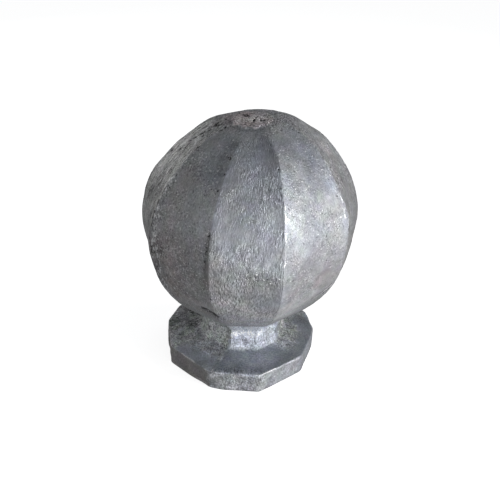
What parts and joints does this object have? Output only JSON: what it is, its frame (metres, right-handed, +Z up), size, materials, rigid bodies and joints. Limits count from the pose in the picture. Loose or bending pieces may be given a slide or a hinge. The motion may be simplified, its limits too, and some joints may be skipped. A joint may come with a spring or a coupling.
{
  "type": "fence finial",
  "caption": "Faceted ball finial on a short neck and a low many-cornered foot, one solid piece of raw forged iron, to be welded on a fence or gate post.",
  "frame": {"origin": "middle of the foot's flat underside", "axes": "+Z up the finial from the underside to the crown, -Y the front as pictured, +X to the right seen from the front"},
  "size_m": [0.0828, 0.076, 0.0973],
  "materials": {
    "iron": "raw forged skin, satin with bright worn ridges and dark scale"
  },
  "bodies": {
    "root": {"finial": "iron"}
  },
  "joints": []
}
